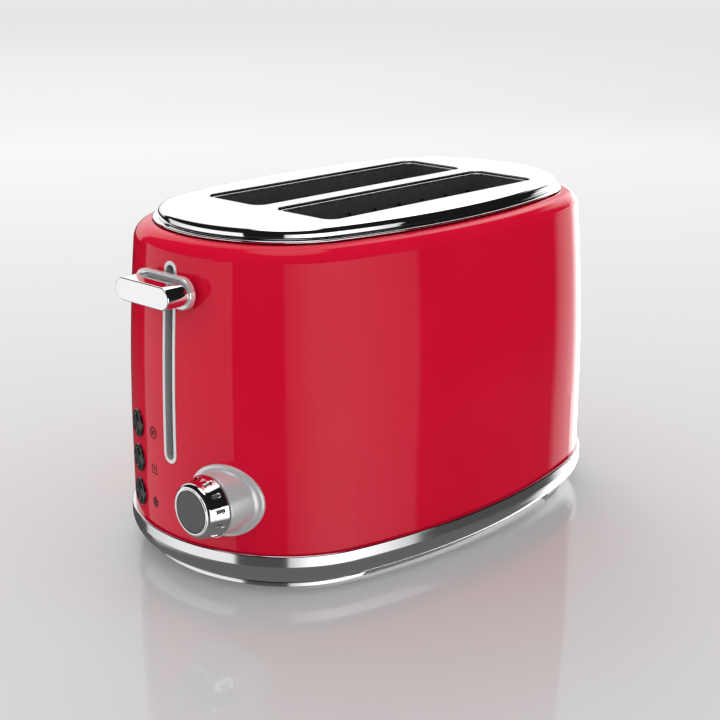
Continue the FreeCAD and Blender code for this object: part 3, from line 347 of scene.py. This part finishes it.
# Light cards as bearings round the object, in degrees from +X, and their brightness there: a soft box
# along the near side, a card off the control end, a bright wall past the far end and a card overhead.
# Past its first and last bearing a row of cards goes on as it ends.
NEAR_CARDS = [(-180, 1.35), (-179, 0.0), (-138, 0.0), (-136, 0.95), (-106, 2.3), (-77, 2.1),
              (-63, 1.1), (-60.5, 1.05), (-59.5, 0.0)]
END_CARD = [(98, 0.0), (100, 0.95), (136, 1.35), (180, 1.35)]
LOW_WALL = [(-15, 0.0), (-13, 1.0), (-8, 1.8), (-4, 3.2), (0, 4.4), (10, 5.5), (44, 5.5), (47, 0.0)]
FAR_WALL = [(-15, 0.0), (-13, 1.0), (-4, 3.2), (0, 4.0), (22, 4.0), (28, 1.1), (86, 1.1), (90, 0.0)]
WALL_CROWN = [(22, 3.0), (28, 1.4), (86, 1.4), (90, 0.0)]
DECK_WALL = [(-7, 0.0), (-4, 1.0), (2, 2.2), (8, 3.0)] + WALL_CROWN
HIGH_WALL = [(7, 0.0), (10, 1.0), (16, 3.0)] + WALL_CROWN
TOP_CARD = [(-180, 2.6), (180, 2.6)]
# Brightness of the brightest card, between the cards, between the lowest ones, and below them all.
CARD_PEAK = 5.5
DARK = 0.012
DARK_LOW = 0.11
GROUND = 0.19
# Each band of sky: the sines of elevation between which it fades in, the brightness of its gaps and
# its cards. It reaches up to the next band.
SKY = [(-0.60, -0.44, DARK_LOW, NEAR_CARDS + LOW_WALL + END_CARD),
       (-0.30, -0.22, DARK, NEAR_CARDS + LOW_WALL + END_CARD),
       (-0.06, 0.00, DARK, NEAR_CARDS + FAR_WALL + END_CARD),
       (0.13, 0.15, DARK, DECK_WALL),
       (0.40, 0.48, DARK, HIGH_WALL),
       (0.93, 0.96, DARK, TOP_CARD)]
# Plain dome that soft light comes from: its brightness at the horizon and overhead.
PLAIN_LOW = 1.70
PLAIN_HIGH = 0.95


def bearing_ramp(nodes, bearing, cards, gap):
    """Brightness along the horizon, from cards given as bearings."""
    stops = [(degrees / 360 + 0.5, max(level, gap) / CARD_PEAK) for degrees, level in cards]
    return nodes.math("MULTIPLY", nodes.ramp(bearing, stops), CARD_PEAK)


def blend_of(nodes, amount, first, second):
    """first where amount is 0, second where it is 1."""
    kept = nodes.math("MULTIPLY", first, nodes.math("SUBTRACT", 1.0, amount))
    return nodes.math("ADD", kept, nodes.math("MULTIPLY", second, amount))


def studio():
    """Even white dome for soft light; polished surfaces see dark walls with light cards in it."""
    world = bpy.data.worlds.new("studio")
    bpy.context.scene.world = world
    world.use_nodes = True
    tree = world.node_tree
    tree.nodes.clear()
    nodes = Nodes(tree)
    direction = tree.nodes.new("ShaderNodeTexCoord").outputs["Generated"]
    axes = nodes.add("ShaderNodeSeparateXYZ", Vector=direction).outputs
    turn = nodes.math("ARCTAN2", axes["Y"], axes["X"])
    bearing = nodes.math("ADD", nodes.math("DIVIDE", turn, 2 * math.pi), 0.5)
    seen = GROUND
    for start, end, gap, cards in SKY:
        band = bearing_ramp(nodes, bearing, cards, gap)
        seen = blend_of(nodes, nodes.remap(axes["Z"], start, end, 0, 1), seen, band)
    is_glossy = tree.nodes.new("ShaderNodeLightPath").outputs["Is Glossy Ray"]
    plain = nodes.remap(axes["Z"], 0, 1, PLAIN_LOW, PLAIN_HIGH)
    back = nodes.add("ShaderNodeBackground", Strength=blend_of(nodes, is_glossy, plain, seen))
    output = tree.nodes.new("ShaderNodeOutputWorld")
    tree.links.new(back.outputs[0], output.inputs[0])


CAMERA_PLACE = Vector((-0.5944, -0.5676, 0.3354))
CAMERA_AIM = Vector((0.03839, 0.04226, 0.0685))
CAMERA_LENS = 74.15
SENSOR_WIDTH = 36


def facing(place, target):
    """Turn that points a camera or lamp from one place to another."""
    return (target - place).to_track_quat("-Z", "Y").to_euler()


def camera():
    """The view that the scene is made for."""
    data = bpy.data.cameras.new("camera")
    data.lens = CAMERA_LENS
    data.sensor_width = SENSOR_WIDTH
    view = bpy.data.objects.new("camera", data)
    view.location = CAMERA_PLACE
    view.rotation_euler = facing(CAMERA_PLACE, CAMERA_AIM)
    bpy.context.scene.collection.objects.link(view)
    bpy.context.scene.camera = view


LAMP_PLACE = Vector((1.1, 1.9, 1.9))
LAMP_AIM = Vector((0.5, 0.9, 0.0))
LAMP_SIZE = 1.6
LAMP_POWER = 22


def back_softbox():
    """Soft lamp for the tabletop behind the object; polished surfaces don't see it."""
    data = bpy.data.lights.new("back_softbox", "AREA")
    data.shape = "SQUARE"
    data.size = LAMP_SIZE
    data.energy = LAMP_POWER
    lamp = bpy.data.objects.new("back_softbox", data)
    lamp.location = LAMP_PLACE
    lamp.rotation_euler = facing(LAMP_PLACE, LAMP_AIM)
    lamp.visible_glossy = False
    bpy.context.scene.collection.objects.link(lamp)


# ---------------------------------------------------------------- mesh helpers


def new_piece(name, points, faces, body, finish, sharp=32):
    """Mesh object in the frame, smooth except at edges sharper than an angle."""
    mesh = bpy.data.meshes.new(name)
    mesh.from_pydata([tuple(value * MM for value in point) for point in points], [], faces)
    work = bmesh.new()
    work.from_mesh(mesh)
    bmesh.ops.recalc_face_normals(work, faces=work.faces)
    work.to_mesh(mesh)
    work.free()
    mesh.polygons.foreach_set("use_smooth", [True] * len(mesh.polygons))
    mesh.set_sharp_from_angle(angle=math.radians(sharp))
    mesh.materials.append(finish)
    piece = bpy.data.objects.new(name, mesh)
    bpy.context.scene.collection.objects.link(piece)
    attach(piece, body)
    return piece


def grid_faces(rows, columns, wrap_rows=False):
    """Quads of a grid whose columns close on themselves."""
    faces = []
    for row in range(rows if wrap_rows else rows - 1):
        after = (row + 1) % rows
        for column in range(columns):
            beside = (column + 1) % columns
            faces.append((row * columns + column, row * columns + beside,
                          after * columns + beside, after * columns + column))
    return faces


def arc(centre, radius, start, end, steps):
    """Points of an arc in a profile, angles in degrees."""
    points = []
    for step in range(steps + 1):
        angle = math.radians(start + (end - start) * step / steps)
        points.append((centre[0] + radius * math.cos(angle), centre[1] + radius * math.sin(angle)))
    return points


# ---------------------------------------------------------------- the body's outline


# Plan of the shell in millimetres: an oval of three arcs in each quarter, each given by its centre,
# its radius and the bearing at which it ends, the last one just past square.
HALF_LENGTH = 146
END_RADIUS = 94
CORNER_RADIUS = 69
SIDE_RADIUS = 343.35
END_ANGLE = 31.5
SIDE_ANGLE = 74.5
END_CENTRE = HALF_LENGTH - END_RADIUS
BEND = END_RADIUS - CORNER_RADIUS
CORNER_CENTRE = (END_CENTRE + BEND * math.cos(math.radians(END_ANGLE)),
                 BEND * math.sin(math.radians(END_ANGLE)))
SIDE_DROP = (SIDE_RADIUS - CORNER_RADIUS) * math.sin(math.radians(SIDE_ANGLE))
SIDE_CENTRE = (0.0, CORNER_CENTRE[1] - SIDE_DROP)
LAST_ANGLE = 90.01
OUTLINE = (((END_CENTRE, 0.0), END_RADIUS, END_ANGLE), (CORNER_CENTRE, CORNER_RADIUS, SIDE_ANGLE),
           (SIDE_CENTRE, SIDE_RADIUS, LAST_ANGLE))


def front_x(side):
    """X of the shell's upright face at the control end, at a distance to one side."""
    corner_x, corner_y = CORNER_CENTRE
    if abs(side) <= END_RADIUS * math.sin(math.radians(END_ANGLE)):
        return -END_CENTRE - math.sqrt(END_RADIUS ** 2 - side ** 2)
    return -corner_x - math.sqrt(CORNER_RADIUS ** 2 - (abs(side) - corner_y) ** 2)


def on_front(arc_length, height, proud):
    """Point over the round control end, by arc length from its middle."""
    angle = arc_length / END_RADIUS
    reach = END_RADIUS + proud
    return (-END_CENTRE - reach * math.cos(angle), reach * math.sin(angle), height)


def from_outline(x, y):
    """How far a point lies inside the shell's oval, and the way out of it there."""
    for (centre_x, centre_y), radius, last in OUTLINE:
        across, along = abs(x) - centre_x, abs(y) - centre_y
        if math.degrees(math.atan2(along, across)) <= last:
            break
    reach = math.hypot(across, along)
    return radius - reach, (math.copysign(across / reach, x), math.copysign(along / reach, y))


# Arcs of swept sections in the (inset, height) plane: centre, radius, first and last elevation.
LEAN_END = 5.4
SHELL_ARCS = (((1150, 62), 1150, 0, LEAN_END), ((15.02, 169.06), 10, LEAN_END, 90))
PLATE_ARCS = (((16.1, 180.2), 0.7, -90, 90), ((20.4, 182.19), 2, -40, 0), ((21.6, 183.1), 3.2, 0, 90))
# How far off an arc, in millimetres and degrees, a point still belongs to it, and how closely a face
# agrees with the arc's own normal, as a cosine.
NEAR = 0.12
NEAR_END = 1
AGREES = 0.9


def slope_on(arcs, inset, height):
    """Way out of the section as (out, up) where the point lies on one of its arcs."""
    for (centre_inset, centre_height), radius, first, last in arcs:
        out, up = centre_inset - inset, height - centre_height
        elevation = math.degrees(math.atan2(up, out))
        if abs(math.hypot(out, up) - radius) < NEAR and first - NEAR_END <= elevation <= last + NEAR_END:
            return out, up
    return None


def true_normal(spot, arcs):
    """Surface normal at a point of an oval sweep, or nothing off its arcs."""
    inset, (out_x, out_y) = from_outline(spot.x / MM, spot.y / MM)
    slope = slope_on(arcs, inset, spot.z / MM)
    if slope is None:
        return None
    out, up = slope
    return Vector((out_x * out, out_y * out, up)).normalized()


def polished_skin(node, finish, arcs):
    """A node's own shape again, with the swept faces' normals worked out instead of faceted."""
    mesh = frame["nodes"][node].data.copy()
    mesh.name = f"{node}_skin"
    truths = [true_normal(vertex.co, arcs) for vertex in mesh.vertices]
    faceted = [corner.vector.copy() for corner in mesh.corner_normals]
    normals = []
    for face in mesh.polygons:
        corners = [truths[index] for index in face.vertices]
        swept = all(corners) and all(face.normal.dot(corner) > AGREES for corner in corners)
        normals += corners if swept else [faceted[index] for index in face.loop_indices]
    mesh.normals_split_custom_set(normals)
    mesh.materials.clear()
    mesh.materials.append(finish)
    piece = bpy.data.objects.new(f"{node}_skin", mesh)
    bpy.context.scene.collection.objects.link(piece)
    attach(piece, "housing")
    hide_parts(node)


# ---------------------------------------------------------------- browning knob and bezel


def knob_place():
    """Knob's face x, and the y and z of its axis, in millimetres."""
    low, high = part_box("browning_knob")
    return low.x / MM, (low.y + high.y) / 2 / MM, (low.z + high.z) / 2 / MM


# Turned outline of the knob as distances behind its face and radii: the seat of its insert, the inside
# of the front ring, the ring's roundings, the bevel, the tapered skirt and the hollow back.
SEAT = (1.5, 10.6)
RING_INSIDE = 11.1
RING_LIP = 0.3
RING_EDGE = 0.35
BEVEL_CENTRE = (3.2, 11.45)
BEVEL_RADIUS = 3.05
BEVEL_SPAN = (158, 98)
SKIRT_ENDS = ((3.1, 14.5), (11.2, 16.4))
SKIRT_START = 3.5
SKIRT_BACK = 10.2
BACK_EDGE = 0.3
BACK_CENTRE = (11.2, 16.2)
HOLLOW = [(11.5, 15.0), (10.0, 14.6), (4.0, 12.6), (4.0, 6.0)]
# The row of dimples round the skirt; angles in degrees, sizes in millimetres.
NOTCHES = 12
NOTCH_TURN = 20
NOTCH_SPAN = (4.4, 9.2)
NOTCH_HALF = 1.1
NOTCH_DEPTH = 0.9
NOTCH_WALL = 0.5
NOTCH_CORNER = 0.8
NOTCH_ROWS = 17
NOTCH_COLUMNS = 15
LAND_COLUMNS = 7
# Share of the depth past which a dimple's floor is painted dark grey, as painted shade.
NOTCH_PAINTED_SHADE = 0.6


def skirt_radius(along):
    """Radius of the tapered skirt at a distance behind the knob's face."""
    (start, low), (end, high) = SKIRT_ENDS
    return low + (high - low) * (along - start) / (end - start)


def spaced(start, end, count):
    """Evenly spaced values, both ends included."""
    return [start + (end - start) * step / (count - 1) for step in range(count)]


def knob_profile():
    """Turned outline (distance from the face, radius), from the insert's seat to the back."""
    ring_middle = RING_INSIDE + RING_LIP
    front = [SEAT, (SEAT[0], RING_INSIDE), (RING_LIP, RING_INSIDE)]
    lip = arc((RING_LIP, ring_middle), RING_LIP, 270, 180, 4)
    ring = arc((RING_EDGE, ring_middle + RING_EDGE), RING_EDGE, 180, 90, 4)
    bevel = arc(BEVEL_CENTRE, BEVEL_RADIUS, *BEVEL_SPAN, 12)
    stations = [SKIRT_START] + spaced(*NOTCH_SPAN, NOTCH_ROWS) + [SKIRT_BACK, SKIRT_ENDS[1][0]]
    skirt = [(along, skirt_radius(along)) for along in stations]
    back = arc(BACK_CENTRE, BACK_EDGE, 90, 0, 4)
    return front + lip + ring + bevel + skirt + back + HOLLOW


def eased(edge_distance):
    """0 at a dimple's rim, 1 on its floor, smooth between."""
    share = min(max(edge_distance / NOTCH_WALL, 0.0), 1.0)
    return share * share * (3 - 2 * share)


def dimple(along, sideways):
    """Depth of a dimple with rounded corners, from its own middle."""
    half_length = (NOTCH_SPAN[1] - NOTCH_SPAN[0]) / 2
    out_along = max(abs(along) - (half_length - NOTCH_CORNER), 0.0)
    out_side = max(abs(sideways) - (NOTCH_HALF - NOTCH_CORNER), 0.0)
    return NOTCH_DEPTH * eased(NOTCH_CORNER - math.hypot(out_along, out_side))


def knob_columns(reach):
    """Turns round the knob as (turn, offset from its dimple's middle), close together in the dimples."""
    pitch = 360 / NOTCHES
    land = spaced(reach, pitch - reach, LAND_COLUMNS)[1:-1]
    offsets = spaced(-reach, reach, NOTCH_COLUMNS) + land
    middles = [NOTCH_TURN + notch * pitch for notch in range(NOTCHES)]
    return [(middle + offset, offset) for middle in middles for offset in offsets]


def on_knob(place, along, radius, turn):
    """Point round the knob's axis, by distance behind its face, radius and turn in degrees."""
    face_x, side, height = place
    angle = math.radians(turn)
    return face_x + along, side - radius * math.sin(angle), height + radius * math.cos(angle)


def browning_knob(finish, dark):
    """Chrome knob: ring, rounded bevel and a tapered skirt with a row of dimples, their floors painted
    dark grey as painted shade.
    """
    place = knob_place()
    profile = knob_profile()
    middle = sum(NOTCH_SPAN) / 2
    reach = math.degrees(NOTCH_HALF / skirt_radius(middle))
    columns = knob_columns(reach)
    points = []
    painted_shade_spots = []
    for along, radius in profile:
        on_skirt = along > NOTCH_SPAN[0] and radius > skirt_radius(NOTCH_SPAN[0])
        for turn, offset in columns:
            sideways = math.radians(offset) * radius
            dip = dimple(along - middle, sideways) if on_skirt and offset <= reach else 0.0
            painted_shade_spots.append(dip > NOTCH_PAINTED_SHADE * NOTCH_DEPTH)
            points.append(on_knob(place, along, radius - dip, turn))
    faces = grid_faces(len(profile), len(columns))
    piece = new_piece("knob_skin", points, faces, "browning_control", finish, 50)
    # Faces deep in a dimple take the dark grey finish: painted shade in place of the dark that the
    # recesses show.
    piece.data.materials.append(dark)
    for face in piece.data.polygons:
        face.material_index = int(all(painted_shade_spots[index] for index in face.vertices))
    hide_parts("browning_knob")


# The pointer's corners as (distance behind the face, degrees to one side), and how far its back lies
# under the skirt and its face over it.
POINTER = ((8.2, -5.0), (8.2, 5.0), (5.4, 0.0))
POINTER_LIFTS = (-0.15, 0.12)


def knob_pointer(finish):
    """Small raised triangle on the skirt that shows the setting."""
    place = knob_place()
    middle = NOTCH_TURN - 180 / NOTCHES
    points = []
    for lift in POINTER_LIFTS:
        for along, spread in POINTER:
            points.append(on_knob(place, along, skirt_radius(along) + lift, middle + spread))
    sides = [(here, here + 3, after + 3, after) for here, after in ((0, 1), (1, 2), (2, 0))]
    faces = [(0, 1, 2), (5, 4, 3)] + sides
    piece = new_piece("knob_pointer", points, faces, "browning_control", finish)


# The bezel in millimetres: the x of its face, its hole, its drum, the drum's draft, the flange that
# the fillet flares into, how thick the two are behind their faces, and their rounded edges.
BEZEL_FACE = -149.3
BEZEL_HOLE = 12.5
BEZEL_RADIUS = 16.5
DRUM_DRAFT = 0.02
FACE_DEPTH = 3.0
FLANGE_RADIUS = 19.35
FLANGE_PROUD = 1.5
FLANGE_LAND = 18.5
FLANGE_SINK = 0.3
HOLE_SINK = 1.0
FILLET = 1.5
EDGE = 0.6
EDGE_STEPS = (0.4, 0.8, 1.2, math.pi / 2)
FILLET_STEPS = (0.2, 0.4, 0.7, 1.0, 1.3, math.pi / 2)
BEZEL_COLUMNS = 180


def rounded_edge(radius, depth, on_face):
    """Outer edge of the face or the flange, rounded from its front to its side."""
    return [(radius + EDGE * math.sin(a), depth + EDGE * (1 - math.cos(a)), on_face) for a in EDGE_STEPS]


def bezel_profile():
    """Bezel outline as (radius, stand-off, whether it is measured from the flat face or the shell)."""
    face_end = BEZEL_RADIUS - EDGE
    drum = BEZEL_RADIUS + DRUM_DRAFT
    foot = -FLANGE_PROUD - FILLET
    rim_start = FLANGE_RADIUS - EDGE
    face = [(BEZEL_HOLE, FACE_DEPTH, True), (BEZEL_HOLE, 0, True), (face_end, 0, True)]
    fillet = [(drum + FILLET * (1 - math.cos(a)), foot + FILLET * math.sin(a), False)
              for a in FILLET_STEPS]
    land = [(FLANGE_LAND, -FLANGE_PROUD, False), (rim_start, -FLANGE_PROUD, False)]
    back = [(FLANGE_RADIUS, FLANGE_SINK, False), (BEZEL_HOLE, HOLE_SINK, False)]
    return (face + rounded_edge(face_end, 0, True) + [(drum, foot, False)] + fillet + land
            + rounded_edge(rim_start, -FLANGE_PROUD, False) + back)


def dial_bezel(finish):
    """Satin drum that flares into a flange lying on the round front."""
    low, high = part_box("dial_bezel")
    side = (low.y + high.y) / 2 / MM
    height = (low.z + high.z) / 2 / MM
    profile = bezel_profile()
    points = []
    for radius, stand_off, on_face in profile:
        for column in range(BEZEL_COLUMNS):
            angle = 2 * math.pi * column / BEZEL_COLUMNS
            y = side - radius * math.sin(angle)
            x = BEZEL_FACE + stand_off if on_face else front_x(y) + stand_off
            points.append((x, y, height + radius * math.cos(angle)))
    faces = grid_faces(len(profile), BEZEL_COLUMNS, True)
    piece = new_piece("bezel_skin", points, faces, "housing", finish, 40)
    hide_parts("dial_bezel")


# ---------------------------------------------------------------- key symbols


def ribbon(stroke, width, closed):
    """Left and right edges of a stroke drawn along flat points."""
    edges = []
    count = len(stroke)
    for index, (u, v) in enumerate(stroke):
        before = stroke[index - 1] if index or closed else stroke[0]
        after = stroke[(index + 1) % count] if index < count - 1 or closed else stroke[-1]
        du, dv = after[0] - before[0], after[1] - before[1]
        size = math.hypot(du, dv)
        out_u, out_v = -dv / size * width / 2, du / size * width / 2
        edges.append(((u + out_u, v + out_v), (u - out_u, v - out_v)))
    return edges


# Key signs in millimetres: half their size, the width and thickness of their lines, and how far along
# the front from its middle they stand.
SYMBOL = 3.0
STROKE = 0.7
INK = 0.05
SYMBOL_SIDE = 15.8
RING_STEPS = 40


def ink(stroke, centre, closed):
    """Points and faces of one printed stroke on the round front: a thin closed ribbon."""
    points = []
    for left, right in ribbon(stroke, STROKE, closed):
        for (u, v), proud in ((left, INK), (right, INK), (right, -INK), (left, -INK)):
            points.append(on_front(centre[0] - u, centre[1] + v, proud))
    count = len(stroke)
    faces = []
    for index in range(count if closed else count - 1):
        here, after = 4 * index, 4 * ((index + 1) % count)
        for corner in range(4):
            beside = (corner + 1) % 4
            faces.append((here + corner, here + beside, after + beside, after + corner))
    if not closed:
        last = 4 * (count - 1)
        faces += [(3, 2, 1, 0), (last, last + 1, last + 2, last + 3)]
    return points, faces


def ring_stroke(radius):
    """Flat points round a circle."""
    turns = [2 * math.pi * step / RING_STEPS for step in range(RING_STEPS)]
    return [(radius * math.cos(turn), radius * math.sin(turn)) for turn in turns]


# The cross's half width, and the waves' spacing, sway and foot, as shares of the sign's half size or
# in millimetres a step.
CROSS = 0.42
WAVE_SPACING = 0.68
WAVE_FOOT = 0.55
WAVE_SWAY = 0.28
WAVE_TURN = 0.75
WAVE_RISE = 0.27
WAVE_STEPS = 14


def cancel_strokes():
    """Ring with a cross in it."""
    arm = CROSS * SYMBOL
    rising = [(-arm, -arm), (arm, arm)]
    falling = [(-arm, arm), (arm, -arm)]
    return [(ring_stroke(SYMBOL), True), (rising, False), (falling, False)]


def reheat_strokes():
    """Three rising waves over a bar."""
    strokes = [([(-SYMBOL, -SYMBOL), (SYMBOL, -SYMBOL)], False)]
    for column in (-1, 0, 1):
        middle = WAVE_SPACING * SYMBOL * column
        wave = [(middle + WAVE_SWAY * math.sin(step * WAVE_TURN), -WAVE_FOOT * SYMBOL + step * WAVE_RISE)
                for step in range(WAVE_STEPS)]
        strokes.append((wave, False))
    return strokes


# The flake's arms: the first one's angle in degrees, the barb's fork and tips as shares of the arm,
# and the tips' spread in radians.
FLAKE_START = 30
BARB_FORK = 0.52
BARB_TIP = 0.86
BARB_SPREAD = 0.42


def spoke(angle, reach):
    """Flat point at a share of the sign's half size, in a direction in radians."""
    return (SYMBOL * reach * math.cos(angle), SYMBOL * reach * math.sin(angle))


def defrost_strokes():
    """Six-armed flake with a barb on each arm."""
    strokes = []
    for arm in range(6):
        angle = math.radians(FLAKE_START + 60 * arm)
        tips = [spoke(angle + spread, BARB_TIP) for spread in (BARB_SPREAD, -BARB_SPREAD)]
        strokes.append(([(0.0, 0.0), spoke(angle, 1.0)], False))
        strokes.append(([tips[0], spoke(angle, BARB_FORK), tips[1]], False))
    return strokes


def key_symbols(finish):
    """A printed sign beside each key, in place of words."""
    signs = {"cancel": cancel_strokes, "reheat": reheat_strokes, "defrost": defrost_strokes}
    for key, strokes in signs.items():
        low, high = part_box(f"{key}_button")
        height = (low.z + high.z) / 2 / MM
        points = []
        faces = []
        for stroke, closed in strokes():
            stroke_points, stroke_faces = ink(stroke, (SYMBOL_SIDE, height), closed)
            faces += [tuple(index + len(points) for index in face) for face in stroke_faces]
            points += stroke_points
        piece = new_piece(f"{key}_sign", points, faces, "housing", finish)


# ---------------------------------------------------------------- build


camera()
studio()
floor()
back_softbox()
finishes = make_finishes()
polished_skin("outer_shell", finishes["red_enamel"], SHELL_ARCS)
polished_skin("top_plate", finishes["polished_chrome"], PLATE_ARCS)
browning_knob(finishes["polished_chrome"], finishes["grey_plastic"])
knob_pointer(finishes["silver_plastic"])
dial_bezel(finishes["silver_plastic"])
key_symbols(finishes["rubber"])
bpy.context.scene.view_settings.view_transform = "Standard"
